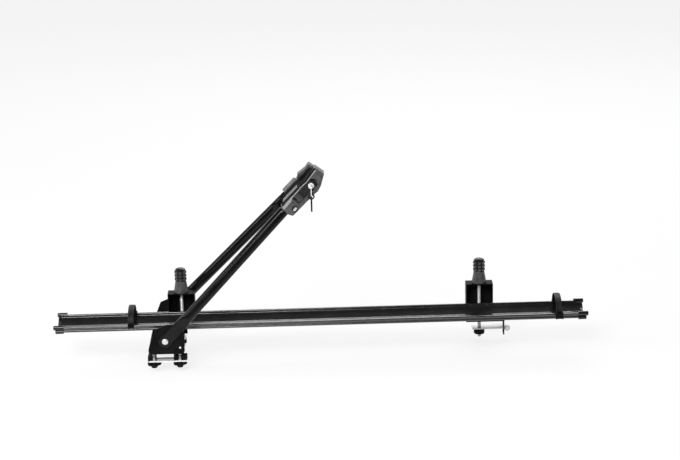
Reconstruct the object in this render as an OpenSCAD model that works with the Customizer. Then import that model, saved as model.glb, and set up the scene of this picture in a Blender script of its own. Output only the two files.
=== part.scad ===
// Roof mounted bike carrier: a folded steel tray on a front and a rear clamp foot,
// with a two-legged holding arm that folds at the front foot and grips between two jaws.
// +X runs along the tray, +Y across it, +Z up. The origin is the middle of the front foot's seat.

/* [Clamp openings] */
// Distance between the front and the rear clamp opening
bar_spacing = 898; // [750:1:1000]
// Width that the clamps straddle
bar_w = 46; // [30:1:50]
// Height of the opening between seat and clamp plate
bar_h = 20; // [18:1:30]

/* [Tray] */
// Length of the folded tray without its end caps
tray_len = 1422; // [1300:1:1560]
// Reach of the tray past the front clamp opening
front_overhang = 290; // [240:1:360]
// Width over both lips
tray_w = 112; // [104:1:118]
// Height of the lip tops above the foot's seat
lip_top = 62; // [60:1:70]
// Height of the folded lips
lip_h = 14; // [12:0.5:16]
// Depth of the tray from lip top to floor
tray_depth = 21; // [18:0.5:23]
// Width of the flat floor
floor_w = 52; // [48:1:60]
// Thickness of the tray sheet
tray_sheet = 2; // [1.6:0.1:2.2]
// Depth of the groove pressed along each lip
groove_d = 2; // [1:0.1:2.2]
// Length of an end cap over the lip
cap_grip = 17; // [12:1:24]
// Reach of an end cap past the tray
cap_reach = 10; // [8:0.5:14]

/* [Feet] */
// Height of the front cross beam
beam_h = 24; // [20:1:28]
// Thickness of the beam, cheek and tower plates
plate_t = 3; // [2.5:0.1:4]
// Outer face of each pivot cheek from the tray middle
cheek_y = 116; // [112:1:124]
// Place of the clamp screw beside the opening, on the inboard side
inner_screw = 39; // [37:1:44]
// Place of the clamp screw beside the opening, on the outboard side
outer_screw = 30; // [30:1:36]
// Place of the near clamp from the tray middle
near_clamp_y = 100; // [97:1:102]
// Gap between the tray's far lip and the front clamp tower
tower_gap = 3; // [1:0.5:6]
// Place of the rear clamp tower from the tray middle
rear_tower_y = 90; // [78:1:110]
// Width of a clamp tower
tower_w = 74; // [68:1:80]
// Depth of a clamp tower
tower_d = 36; // [34:1:38]
// Height of a clamp tower above the foot's seat
tower_h = 110; // [100:1:120]
// Thickness of the zinc clamp plates
clamp_t = 3; // [2.5:0.1:4]
// Width of the zinc clamp plates
clamp_w = 30; // [26:1:32]
// Radius of the tower studs
stud_r = 5; // [4:0.1:5.5]
// Radius of the near clamp bolts
bolt_r = 4; // [3:0.1:4.5]
// Height of a tower knob
knob_h = 69; // [60:1:76]
// Radius of a tower knob's grip
knob_r = 16.5; // [14:0.5:17]
// Radius of the star nuts below the near clamp
star_r = 19; // [17:0.5:21]

/* [Arm] */
// Angle of the arm above the tray as it stands
arm_deg = 45.9; // [38:0.1:50]
// Length of each leg from the pivot to the head
leg_len = 470; // [430:1:520]
// Outer diameter of the leg tubes
leg_d = 28; // [25:0.5:30]
// Wall of the leg tubes
leg_wall = 1.8; // [1.5:0.1:2.5]
// Thickness of the flattened leg feet
foot_t = 5; // [4:0.2:6]
// Radius of the flattened foot round the pivot
foot_r = 18; // [16:0.5:20]
// Height of the arm pivot above the foot's seat
pivot_z = 37; // [36:0.5:40]
// Place of the arm pivot along the tray
pivot_x = 3; // [-4:0.5:8]
// Radius of the pivot bolts
pivot_r = 5; // [4:0.1:6]
// Half spacing of the legs at the head
head_y = 62; // [60:0.5:64]

/* [Head] */
// Inner face of each jaw from the middle
jaw_in = 42; // [40:0.5:44]
// Thickness of the near jaw
near_jaw_t = 32; // [31:0.5:34]
// Thickness of the far jaw
far_jaw_t = 28; // [24:0.5:32]
// Thickness of the grip pads beside the jaws' opening
pad_grip = 14; // [10:0.5:16]
// Width of the grip pads
pad_w = 25; // [22:0.5:26]
// Width of the clamp lever
lever_w = 22; // [20:0.5:23]
// Radius of the lock barrel
lock_r = 7; // [5.5:0.1:8]
// Radius of the bolt that draws the jaws together
tie_r = 4; // [3:0.1:4.5]
// Radius of the guide pin
guide_r = 3.5; // [2.5:0.1:3.8]

/* [Straps] */
// Place of the front strap along the tray
front_strap_x = -92; // [-170:1:-75]
// Place of the rear strap from the rear end of the tray
rear_strap_in = 68; // [52:1:150]
// Width of a strap
strap_w = 16; // [14:0.5:20]
// Thickness of a strap
strap_t = 3; // [2:0.1:4]
// Height of the strap arch over the lips
strap_rise = 32; // [26:1:44]

/* [Clearances] */
// Radial running gap of pins and bores
run_gap = 0.06; // [0.03:0.01:0.1]
// Gap between parts that slide or swing past each other
pass_gap = 0.4; // [0.3:0.05:0.6]
// Gap of parts that are pushed together and stay
snug = 0.05; // [0.02:0.01:0.1]

/* [Hidden] */
$fn = 48;

black_steel = [0.07, 0.07, 0.075];
black_plastic = [0.1, 0.1, 0.11];
zinc = [0.78, 0.79, 0.8];
grey_rubber = [0.62, 0.63, 0.64];

// Tray section
tray_x0 = -front_overhang;
tray_half = tray_w / 2;
tower_at = tray_half + tower_gap + tower_d / 2;
floor_z = lip_top - tray_depth;
floor_under = floor_z - tray_sheet;
lip_bottom = lip_top - lip_h;
skirt_y = tray_half - tray_sheet / 2;
lip_run = 5.5;
wall_y = skirt_y - lip_run;
knee_z = lip_top - 8;
groove_z = lip_top - 7.5;
sheet_round = 0.8;
web_reach = cap_reach - 3;
tray_bolt_r = 3;
tray_bolt_pitch = 44;
tray_bolt_grip = 7;
tray_bolt_head_r = 7;
tray_bolt_head_h = 2.6;
tray_nut_r = 5.7;
tray_nut_h = 5.5;

// Feet
cheek_in = cheek_y - plate_t;
cheek_rear = 54;
cheek_front = 43;
heel_x = 42;
toe_cut = 3;
toe_z = 8;
shoulder_z = 66;
crown_x = 29;
crown_z = 83;
brow_x = 5;
brow_z = 81;
nose_x = 22;
nose_z = 70;
belly_x = 39;
belly_z = 28;
chin_z = 12;
crease_x = 19;
crease_z = 40;
crease_run = 20;
saddle_under = floor_under - plate_t;
saddle_half = floor_w / 2 - 2;
saddle_len = 94;
front_saddle_x = 11;
rear_x = bar_spacing;
clamp_top = -bar_h;
clamp_under = clamp_top - clamp_t;
clamp_end = 20;
front_clamp_end = 8;
screw_end = 48;
bolt_end = 41;
block_h = 12;
hook_in = bar_w / 2 + 4;
hook_drop = 42;
hook_w = 24;
eye_r = 8;
eye_pin_r = 4.5;
tower_front_y = tower_at - tower_d / 2;
tower_back_y = tower_at + tower_d / 2;
stud_nut_r = 15;
front_nut_r = 9;
stud_nut_h = 16;
skirt_h = 32;
collar_gap = 0.6;
knob_ribs = 12;
star_lobes = 5;
star_h = 13;

// Arm
leg_r = leg_d / 2;
foot_y = cheek_y + pass_gap + foot_t / 2;
bend_u = 64;
tube_u = 96;
spigot_r = leg_r - 3.5;
near_spigot = 20;
far_spigot = 8;
yoke_back = 30;
yoke_r = 10;

// Head, measured along the arm from the end of the legs and across it from the leg axis
near_outline = [
    [2, -13], [8, -25], [89, -26], [102, -28], [119, -23], [148, -7.5],
    [144, 23.5], [123, 21.5], [101, 17.5], [74, 21], [67, 14], [2, 14]
];
far_low = 14;
far_outline = [
    [far_low, -25], [89, -26], [102, -27], [114, -21], [121, -5],
    [118, 20], [101, 17.5], [74, 21], [67, 14], [far_low, 14]
];
corner_r = 3;
lever_u = 52;
lever_len = 62;
lever_low = -14;
lever_depth = 10;
lever_hub_r = 6;
lever_y = near_face() - 7;
lever_pin_r = 2.5;
pin_grip = 4.5;
recess_floor = lever_y - lever_hub_r - 0.5;
tie_u = 52;
tie_v = 1;
guide_u = 25;
guide_v = -16.5;
lock_u = 101;
lock_v = -4;
adjuster_r = 12;
adjuster_h = 10;
barrel_r = 9;
barrel_u = 16;
barrel_v = 12.5;
barrel_len = 44;
pad_low = 9;
cradle_top = 58;
cradle_slope = 71;
grip_low = 79;
grip_top = 140;
far_grip_top = 113;
cradle_cut = 9;
groove_y = 10;
groove_pitch = 8;
groove_w = 2.2;
pad_split = 1.5;
pad_back = jaw_in - snug;

// Keys
bow_t = 2.4;
bow_reach = 24;
bow_hole_r = 2.6;
ring_r = 6.9;
wire_r = 2;
spare_t = 4.4;
blade_len = 34;

// Straps
rear_strap_x = tray_x0 + tray_len - rear_strap_in;
clip_w = strap_w + 4;
clip_t = 3;
strap_half = tray_half - 5;
strap_foot = lip_top + pass_gap + clip_t;
buckle_h = 15;
buckle_t = 3;
buckle_pin_r = 1.5;

function near_face() = jaw_in + near_jaw_t;
function far_face() = jaw_in + far_jaw_t;
// Half spacing of the leg axes at a distance along the arm
function leg_y(u) = foot_y + (head_y - foot_y) * (u - bend_u) / (leg_len - bend_u);
function leg_axis(u, side) = [u, side * leg_y(u), 0];
function unit(v) = v / norm(v);
function left_of(v) = [-v[1], v[0]];
// Point of a folded strip's edge: path corner i moved half the sheet along its mitre
function strip_corner(p, i, half) =
    let (a = unit(p[max(i, 1)] - p[max(i, 1) - 1]))
    let (b = unit(p[min(i, len(p) - 2) + 1] - p[min(i, len(p) - 2)]))
    let (m = unit(left_of(a) + left_of(b)))
    p[i] + m * half / (m * left_of(a));
function strip(p, t) = concat(
    [for (i = [0:len(p) - 1]) strip_corner(p, i, t / 2)],
    [for (i = [len(p) - 1:-1:0]) strip_corner(p, i, -t / 2)]
);

module rod(p, q, r) {
    d = q - p;
    translate(p)
        rotate([0, acos(d[2] / norm(d)), atan2(d[1], d[0])])
            cylinder(h = norm(d), r = r);
}

module across(y0, y1, r) {
    translate([0, y0, 0])
        rotate([-90, 0, 0])
            cylinder(h = y1 - y0, r = r);
}

// Shallow domed head standing on the plane z = 0
module dome(r, h) {
    ball = (r * r + h * h) / (2 * h);
    intersection() {
        cylinder(h = h + 1, r = r);
        translate([0, 0, h - ball])
            sphere(r = ball, $fn = 96);
    }
}

module rounded(r) {
    offset(r = r)
        offset(delta = -r)
            children();
}

module on_arm() {
    translate([pivot_x, 0, pivot_z])
        rotate([0, -arm_deg, 0])
            children();
}

module on_head() {
    on_arm()
        translate([leg_len, 0, 0])
            children();
}

module both_sides() {
    children();
    mirror([0, 1, 0])
        children();
}

// Tray

module tray_section() {
    half = [
        [floor_w / 2, floor_z - tray_sheet / 2], [wall_y, knee_z], [wall_y, lip_top - tray_sheet / 2],
        [skirt_y, lip_top - tray_sheet / 2], [skirt_y, groove_z + 2.5], [skirt_y - groove_d, groove_z + 1],
        [skirt_y - groove_d, groove_z - 1], [skirt_y, groove_z - 2.5], [skirt_y, lip_bottom]
    ];
    other = [for (i = [len(half) - 1:-1:0]) [-half[i][0], half[i][1]]];
    rounded(sheet_round, $fn = 16)
        polygon(strip(concat(other, half), tray_sheet));
}

module tray_bolt_places() {
    for (x = [front_saddle_x, rear_x - inner_screw])
        for (s = [-1, 1])
            translate([x + s * tray_bolt_pitch / 2, 0, floor_z])
                children();
}

module tray() {
    color(black_steel)
        difference() {
            translate([tray_x0, 0, 0])
                rotate([90, 0, 90])
                    linear_extrude(tray_len)
                        tray_section();
            tray_bolt_places()
                translate([0, 0, -tray_sheet - 1])
                    cylinder(h = tray_sheet + 2, r = tray_bolt_r + snug);
        }
}

// Two-lobed plug over the front end of the near lip
module end_cap() {
    lobe_y = tray_half - 2.5;
    lobes = [[lip_top - 1.3, 6.3, cap_reach], [lip_bottom + 1.5, 5.5, cap_reach / 2]];
    color(black_plastic)
        difference() {
            for (lobe = lobes)
                translate([tray_x0, -lobe_y, lobe[0]]) {
                    rotate([0, 90, 0])
                        translate([0, 0, lobe[1] - lobe[2] - 3])
                            cylinder(h = cap_grip + lobe[2] - lobe[1] + 3, r = lobe[1]);
                    translate([lobe[1] - lobe[2] - 3, 0, 0])
                        intersection() {
                            sphere(r = lobe[1]);
                            translate([3 - lobe[1], -lobe[1], -lobe[1]])
                                cube(2 * lobe[1]);
                        }
                }
            translate([tray_x0 - snug, -tray_half - snug, lip_bottom - snug])
                cube([cap_grip + 1, tray_half, lip_h + 2 * snug]);
        }
}

module at_rear_end() {
    translate([2 * tray_x0 + tray_len, 0, 0])
        mirror([1, 0, 0])
            children();
}

// Web of the far cap, which covers the cut edge of the tray from the far lip to the near wall
module end_web() {
    mid_z = floor_z - tray_sheet / 2;
    part = 0.7;
    near = [-floor_w / 2 - part * (wall_y - floor_w / 2), mid_z + part * (knee_z - mid_z)];
    line = [near, [-floor_w / 2, mid_z], [floor_w / 2, mid_z], [wall_y, knee_z], [wall_y, lip_top - tray_sheet / 2]];
    color(black_plastic)
        translate([tray_x0 - web_reach, 0, 0])
            rotate([90, 0, 90])
                linear_extrude(web_reach - snug)
                    polygon(strip(line, 2 * tray_sheet));
}

module far_end_cap() {
    mirror([0, 1, 0])
        end_cap();
    end_web();
}

module front_near_end_cap() end_cap();
module front_far_end_cap() far_end_cap();
module rear_near_end_cap() at_rear_end() end_cap();
module rear_far_end_cap() at_rear_end() far_end_cap();

// Front foot

// Channel that lies across under the tray and carries both cheeks
module front_beam() {
    x0 = -outer_screw - 10;
    x1 = inner_screw + 7;
    color(black_steel)
        difference() {
            union() {
                translate([x0, -cheek_in, 0])
                    cube([x1 - x0, 2 * cheek_in, plate_t]);
                translate([x0, -cheek_in, beam_h - plate_t])
                    cube([x1 - x0, 2 * cheek_in, plate_t]);
                translate([x0, -cheek_in, 0])
                    cube([plate_t, 2 * cheek_in, beam_h]);
                hook();
            }
            for (x = [-outer_screw, inner_screw])
                translate([x, -near_clamp_y, -1])
                    cylinder(h = plate_t + 2, r = bolt_r + snug);
            translate([inner_screw, tower_at, -1])
                cylinder(h = beam_h + 2, r = stud_r + run_gap);
            translate([front_saddle_x - tray_bolt_pitch / 2, 0, 0])
                front_nut_room();
            translate([front_saddle_x + tray_bolt_pitch / 2, 0, 0])
                front_nut_room();
        }
}

// Hole in the beam's top plate under a tray bolt
module front_nut_room() {
    translate([0, 0, beam_h - plate_t - 1])
        cylinder(h = plate_t + 2, r = 8);
}

// Black plate down the outboard side of a clamp opening, slotted for the end of the clamp plate
module hook() {
    translate([-hook_in - plate_t, tower_at - hook_w / 2, 0])
        difference() {
            translate([0, 0, -hook_drop])
                cube([plate_t, hook_w, hook_drop]);
            translate([-1, hook_w / 2 - clamp_tongue() / 2 - pass_gap, -hook_drop + 6])
                cube([plate_t + 2, clamp_tongue() + 2 * pass_gap, hook_drop - bar_h - 6 + pass_gap]);
        }
}

function clamp_tongue() = hook_w - 10;

// Stamped plate that carries one leg on its pivot bolt
module cheek() {
    outline = [
        [-heel_x, 0], [cheek_rear - toe_cut, 0], [cheek_rear, toe_z], [cheek_rear, shoulder_z],
        [crown_x, crown_z], [brow_x, brow_z], [-nose_x, nose_z], [-belly_x, belly_z], [-cheek_front, chin_z]
    ];
    crease_from = [crease_x, crease_z];
    crease_to = [crease_x + crease_run, crease_z - crease_run];
    color(black_steel)
        difference() {
            union() {
                translate([0, -cheek_in, 0])
                    rotate([90, 0, 0])
                        linear_extrude(plate_t)
                            rounded(4, $fn = 24)
                                polygon(outline);
                translate([bar_w / 2 + 1, -cheek_y, -block_h / 2])
                    cube([6, plate_t, block_h / 2 + 5]);
            }
            translate([pivot_x, 0, pivot_z])
                across(-cheek_y - 1, -cheek_in + 1, pivot_r + snug);
            translate([rivet_x, 0, rivet_z])
                across(-cheek_y - 1, -cheek_in + 1, 2 + snug);
            rod([crease_from[0], -cheek_y, crease_from[1]], [crease_to[0], -cheek_y, crease_to[1]], 0.8);
        }
}

rivet_x = 42;
rivet_z = 17.5;

module near_cheek() cheek();
module far_cheek() mirror([0, 1, 0]) cheek();

module cheek_rivets() {
    color(zinc)
        both_sides()
            translate([rivet_x, 0, rivet_z]) {
                across(-cheek_y, -cheek_in + 1, 2);
                translate([0, -cheek_y - snug, 0])
                    rotate([90, 0, 0])
                        dome(3, 1.4);
                across(-cheek_y - snug, -cheek_y, 2);
                across(-cheek_in + snug, -cheek_in + 1.5, 3);
            }
}

pivot_nut_h = 7;
pivot_head_r = 8.5;
foot_out = foot_y + foot_t / 2;

module pivot_bolt() {
    color(zinc)
        translate([pivot_x, 0, pivot_z]) {
            across(-foot_out - pass_gap, -cheek_in + pivot_nut_h + 2, pivot_r);
            translate([0, -foot_out - pass_gap, 0])
                rotate([90, 0, 0])
                    dome(pivot_head_r, 4);
        }
}

module near_pivot_bolt() pivot_bolt();
module far_pivot_bolt() mirror([0, 1, 0]) pivot_bolt();

module pivot_nuts() {
    color(zinc)
        both_sides()
            translate([pivot_x, 0, pivot_z])
                difference() {
                    translate([0, -cheek_in + snug, 0])
                        rotate([-90, 0, 0])
                            cylinder(h = pivot_nut_h, r = 1.8 * pivot_r, $fn = 6);
                    across(-cheek_in - 1, -cheek_in + pivot_nut_h + 1, pivot_r + snug);
                }
}

// Hat-shaped spacer between the front beam and the tray floor
module front_saddle() {
    color(black_steel)
        difference() {
            translate([front_saddle_x - saddle_len / 2, 0, 0]) {
                translate([0, -saddle_half, saddle_under])
                    cube([saddle_len, 2 * saddle_half, plate_t]);
                both_sides()
                    translate([0, -saddle_half, beam_h])
                        cube([saddle_len, plate_t, saddle_under - beam_h]);
            }
            tray_bolt_places()
                translate([0, 0, -tray_depth])
                    cylinder(h = tray_depth, r = tray_bolt_r + snug);
        }
}

// Tongue from the rear tower that carries the tray from below
module rear_saddle() {
    x0 = rear_x - inner_screw - tower_w / 2;
    reach = rear_tower_y - tower_d / 2;
    rib = 12;
    rib_y = 15;
    color(black_steel)
        difference() {
            translate([x0, 0, saddle_under]) {
                translate([0, -saddle_half, 0])
                    cube([tower_w, saddle_half + reach, plate_t]);
                for (x = [0, tower_w - plate_t])
                    translate([x, rib_y, -rib])
                        cube([plate_t, reach - rib_y, rib]);
            }
            tray_bolt_places()
                translate([0, 0, -tray_depth])
                    cylinder(h = tray_depth, r = tray_bolt_r + snug);
        }
}

module tray_bolts() {
    color(zinc)
        tray_bolt_places() {
            dome(tray_bolt_head_r, tray_bolt_head_h);
            translate([0, 0, -tray_sheet - plate_t - tray_bolt_grip])
                cylinder(h = tray_sheet + plate_t + tray_bolt_grip, r = tray_bolt_r);
        }
}

module tray_nuts() {
    color(zinc)
        tray_bolt_places()
            translate([0, 0, -tray_sheet - plate_t - tray_nut_h])
                difference() {
                    cylinder(h = tray_nut_h - snug, r = tray_nut_r, $fn = 6);
                    translate([0, 0, -1])
                        cylinder(h = tray_nut_h + 2, r = tray_bolt_r + snug);
                }
}

// Clamp towers

// Folded channel open towards the tray, with its stud down the middle
module tower(base_z) {
    color(black_steel)
        difference() {
            translate([inner_screw - tower_w / 2, tower_front_y, base_z]) {
                translate([0, tower_d - plate_t, 0])
                    cube([tower_w, plate_t, tower_h - base_z]);
                for (x = [0, tower_w - plate_t])
                    translate([x, 0, 0])
                        cube([plate_t, tower_d, tower_h - base_z]);
                translate([0, 0, tower_h - base_z - plate_t])
                    cube([tower_w, tower_d, plate_t]);
            }
            translate([inner_screw, tower_at, tower_h - plate_t - 1])
                cylinder(h = plate_t + 2, r = stud_r + run_gap);
        }
}

module front_tower() tower(beam_h);

module at_rear_bar() {
    translate([rear_x, rear_tower_y - tower_at, 0])
        mirror([1, 0, 0])
            children();
}

module rear_tower() {
    x0 = -hook_in - plate_t;
    at_rear_bar() {
        tower(0);
        color(black_steel) {
            difference() {
                translate([x0, tower_front_y, 0])
                    cube([inner_screw + tower_w / 2 - x0, tower_d, plate_t]);
                translate([inner_screw, tower_at, -1])
                    cylinder(h = plate_t + 2, r = stud_r + run_gap);
            }
            hook();
        }
    }
}

stud_top = tower_h + knob_h - 14;

module stud() {
    color(zinc)
        translate([inner_screw, tower_at, -screw_end])
            cylinder(h = stud_top + screw_end, r = stud_r);
}

// Tall hand knob: smooth flared skirt below, ribbed grip with a domed top
module knob() {
    color(black_plastic)
        translate([inner_screw, tower_at, tower_h + collar_gap])
            difference() {
                union() {
                    cylinder(h = skirt_h, r1 = knob_r + 3.5, r2 = knob_r - 1.5);
                    translate([0, 0, skirt_h])
                        cylinder(h = knob_h - skirt_h - 6, r = knob_r - 1.5);
                    translate([0, 0, knob_h - 6])
                        dome(knob_r - 1.5, 6);
                    for (i = [0:knob_ribs - 1])
                        rotate(i * 360 / knob_ribs)
                            translate([knob_r - 2, 0, skirt_h])
                                cylinder(h = knob_h - skirt_h - 6, r = 2);
                }
                translate([0, 0, -1])
                    cylinder(h = stud_top - tower_h - collar_gap + 1 + snug, r = stud_r + snug);
            }
}

module front_stud() stud();
module rear_stud() at_rear_bar() stud();
module front_knob() knob();
module rear_knob() at_rear_bar() knob();

// Zinc plate under a clamp opening: its tongue passes the hook and ends in a rolled eye
module far_clamp_plate(end) {
    x1 = -hook_in + pass_gap;
    color(zinc)
        difference() {
            union() {
                translate([0, tower_at, clamp_under]) {
                    translate([x1, -clamp_w / 2, 0])
                        cube([inner_screw + end - x1, clamp_w, clamp_t]);
                    translate([eye_x(), -clamp_tongue() / 2, 0])
                        cube([x1 - eye_x() + 1, clamp_tongue(), clamp_t]);
                }
                translate([eye_x(), tower_at, eye_z()])
                    across(-clamp_tongue() / 2, clamp_tongue() / 2, eye_r);
            }
            translate([inner_screw, tower_at, clamp_under - 1])
                cylinder(h = clamp_t + 2, r = stud_r + pass_gap);
            translate([eye_x(), tower_at, eye_z()])
                across(-clamp_tongue(), clamp_tongue(), eye_pin_r + snug);
        }
}

function eye_x() = -hook_in - plate_t - eye_r - pass_gap;
function eye_z() = clamp_top - eye_r + clamp_t;

// Black hand nut captive under a clamp plate
module stud_nut(r) {
    color(black_plastic)
        translate([inner_screw, tower_at, clamp_under - snug])
            difference() {
                union() {
                    translate([0, 0, -stud_nut_h])
                        cylinder(h = stud_nut_h, r = r - 1);
                    for (i = [0:9])
                        rotate(i * 36)
                            translate([r - 1.6, 0, -stud_nut_h + 1.5])
                                cylinder(h = stud_nut_h - 1.5, r = 1.6);
                }
                translate([0, 0, -stud_nut_h - 1])
                    cylinder(h = stud_nut_h + 2, r = stud_r + run_gap);
            }
}

// Pin through the rolled eye, too long to pass the hook
module hook_pin() {
    half = clamp_tongue() / 2;
    color(zinc)
        translate([eye_x(), tower_at, eye_z()]) {
            across(-half - 3, half + 3, eye_pin_r);
            across(-half - 3, -half - snug, eye_pin_r + 1.5);
        }
}

module front_clamp_plate() far_clamp_plate(front_clamp_end);
module rear_clamp_plate() at_rear_bar() far_clamp_plate(clamp_end);
module front_stud_nut() stud_nut(front_nut_r);
module rear_stud_nut() at_rear_bar() stud_nut(stud_nut_r);
module front_hook_pin() hook_pin();
module rear_hook_pin() at_rear_bar() hook_pin();

// Near clamp

module near_clamp_bolts() {
    color(zinc)
        for (x = [-outer_screw, inner_screw])
            translate([x, -near_clamp_y, 0]) {
                translate([0, 0, -bolt_end])
                    cylinder(h = bolt_end + plate_t, r = bolt_r);
                translate([0, 0, plate_t + snug])
                    dome(2 * bolt_r, 4);
                translate([0, 0, plate_t])
                    cylinder(h = 1, r = bolt_r);
            }
}

module near_clamp_plate() {
    x0 = -outer_screw - clamp_end + 6;
    color(zinc)
        difference() {
            translate([x0, -near_clamp_y - clamp_w / 2, clamp_under])
                cube([inner_screw + clamp_end - x0, clamp_w, clamp_t]);
            for (x = [-outer_screw, inner_screw])
                translate([x, -near_clamp_y, clamp_under - 1])
                    cylinder(h = clamp_t + 2, r = bolt_r + pass_gap);
        }
}

// Moulded blocks on both sides of the clamp opening, slotted from the front for the bolts
module near_clamp_blocks() {
    gap = bar_w / 2 + 0.5;
    ends = [[-outer_screw - clamp_end + 4, -gap, -outer_screw], [gap, inner_screw + clamp_end, inner_screw]];
    color(black_plastic)
        for (e = ends)
            difference() {
                translate([e[0], -near_clamp_y - clamp_w / 2 + 3, clamp_top + snug])
                    cube([e[1] - e[0], clamp_w - 6, block_h]);
                translate([e[2], -near_clamp_y, clamp_top - 1])
                    cylinder(h = block_h + 2, r = bolt_r + pass_gap);
                translate([e[2] - bolt_r - pass_gap, -near_clamp_y - clamp_w, clamp_top - 1])
                    cube([2 * (bolt_r + pass_gap), clamp_w, block_h + 2]);
            }
}

// Star-shaped hand nut on a near clamp bolt
module star_nut(x) {
    color(black_plastic)
        translate([x, -near_clamp_y, clamp_under - snug])
            difference() {
                union() {
                    translate([0, 0, -star_h])
                        cylinder(h = star_h, r = star_r - 5);
                    for (i = [0:star_lobes - 1])
                        rotate(i * 360 / star_lobes)
                            translate([star_r - 5.5, 0, 1 - star_h])
                                cylinder(h = star_h - 2.5, r = 5.5);
                    translate([0, 0, -star_h - 6])
                        cylinder(h = 8, r = 8);
                }
                translate([0, 0, -star_h - 8])
                    cylinder(h = star_h + 10, r = bolt_r + run_gap);
            }
}

module outer_star_nut() star_nut(-outer_screw);
module inner_star_nut() star_nut(inner_screw);

// Arm

// Tube with a flattened foot at the pivot and a turned-down end at the head
module leg(spigot) {
    top = leg_len + spigot;
    color(black_steel)
        on_arm()
            difference() {
                union() {
                    across(-foot_out, -foot_y + foot_t / 2, foot_r);
                    translate([0, -foot_out, -foot_r + 2])
                        cube([bend_u, foot_t, 2 * foot_r - 4]);
                    hull() {
                        translate([bend_u - 4, -foot_out + 0.2, -foot_r + 2.2])
                            cube([1, foot_t - 0.4, 2 * foot_r - 4.4]);
                        rod(leg_axis(tube_u + 2, -1), leg_axis(tube_u + 3, -1), leg_r - 0.2, $fn = 40);
                    }
                    rod(leg_axis(tube_u, -1), leg_axis(leg_len, -1), leg_r);
                    rod(leg_axis(leg_len - 1, -1), leg_axis(top, -1), spigot_r);
                }
                across(-foot_out - 1, -foot_y + foot_t, pivot_r + run_gap);
                rod(leg_axis(tube_u + 8, -1), leg_axis(leg_len - 4, -1), leg_r - leg_wall);
                rod(leg_axis(leg_len - 5, -1), leg_axis(top + 1, -1), spigot_r - leg_wall);
            }
}

module near_leg() leg(near_spigot);
module far_leg() mirror([0, 1, 0]) leg(far_spigot);

module far_leg_cap() {
    color(black_plastic)
        on_arm()
            difference() {
                rod(leg_axis(leg_len + snug, 1), leg_axis(leg_len + far_spigot + 2.5, 1), leg_r);
                rod(leg_axis(leg_len - 1, 1), leg_axis(leg_len + far_spigot + snug, 1), spigot_r + snug);
            }
}

// Cross tube welded between the legs below the head
module head_yoke() {
    u = leg_len - yoke_back;
    color(black_steel)
        on_arm()
            difference() {
                translate([u, 0, 0])
                    across(-leg_y(u), leg_y(u), yoke_r);
                for (side = [-1, 1])
                    rod(leg_axis(u - 3 * yoke_r, side), leg_axis(u + 3 * yoke_r, side), leg_r + snug);
            }
}

module jaw_body(outline, t) {
    translate([0, -jaw_in, 0])
        rotate([90, 0, 0])
            linear_extrude(t)
                rounded(corner_r, $fn = 24)
                    polygon(outline);
}

// Fixed jaw on the near leg, with the lever's recess in its outer face
module near_jaw() {
    socket = near_spigot + snug;
    recess_low = lever_low - 1;
    color(black_plastic)
        on_head()
            difference() {
                jaw_body(near_outline, near_jaw_t);
                translate([-leg_len, 0, 0])
                    rod(leg_axis(leg_len - 5, -1), leg_axis(leg_len + socket, -1), spigot_r + snug);
                translate([-leg_len, 0, 0])
                    rod(leg_axis(leg_len - 20, -1), leg_axis(leg_len + snug, -1), leg_r + snug);
                translate([lever_u - 10, -near_face() - 1, recess_low])
                    cube([lever_len + 12, near_face() + 1 - recess_floor, lever_w + 2]);
                translate([lever_u + lever_len, -near_face(), lever_low + lever_w / 2])
                    sphere(r = 9);
                translate([lever_u, -lever_y, lever_low - pin_grip - snug])
                    cylinder(h = lever_w + 2 * pin_grip + 2 * snug, r = lever_pin_r + snug);
                translate([tie_u, 0, tie_v])
                    across(-near_face(), -jaw_in + 1, tie_r + run_gap);
                translate([guide_u, 0, guide_v])
                    across(-near_face() - 1, -jaw_in + 1, guide_r + snug);
            }
}

// Ribbed rubber block: half of the cradle below, a grip pad beside the jaws' opening above
module pad(reach, top) {
    ribs = round((top - grip_low) / 7.6);
    outline = [
        [reach, -pad_back], [reach, -pad_split], [cradle_top, -pad_split], [cradle_slope, -pad_split - cradle_cut],
        [grip_low, -jaw_in + pad_grip + 1], [top, -jaw_in + pad_grip], [top, -pad_back]
    ];
    rib_step = (top - grip_low - 4) / ribs;
    color(grey_rubber)
        difference() {
            translate([0, 0, -pad_w / 2])
                linear_extrude(pad_w)
                    rounded(1.5, $fn = 24)
                        polygon(outline);
            for (i = [0:ribs - 1])
                translate([grip_low + 4 + i * rib_step, -jaw_in + pad_grip - 1.2, -pad_w])
                    cube([rib_step / 3, 4, 2 * pad_w]);
            for (i = [0:2])
                translate([reach - 1, -groove_y - i * groove_pitch, pad_w / 2 - 1.4])
                    cube([cradle_top - reach, groove_w, 3]);
            translate([tie_u, 0, tie_v])
                across(-jaw_in - 1, 1, tie_r + pass_gap);
        }
}

module near_pad() on_head() pad(pad_low, grip_top);
module far_pad() on_head() mirror([0, 1, 0]) pad(far_low, far_grip_top);

// Steel pin that keeps the jaws in line, with an oblong head on the near jaw
module guide_pin() {
    head_t = 1.6;
    color(zinc)
        on_head()
            translate([guide_u, 0, guide_v]) {
                across(-near_face() - snug, far_face() - 4, guide_r);
                translate([0, -near_face() - snug, 0])
                    rotate([90, 0, 0])
                        linear_extrude(head_t)
                            rounded(guide_r - 0.1)
                                square([2 * guide_r + 5, 2 * guide_r], center = true);
            }
}

module lever_pin() {
    color(zinc)
        on_head()
            translate([lever_u, -lever_y, lever_low - pin_grip])
                cylinder(h = lever_w + 2 * pin_grip, r = lever_pin_r);
}

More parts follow.
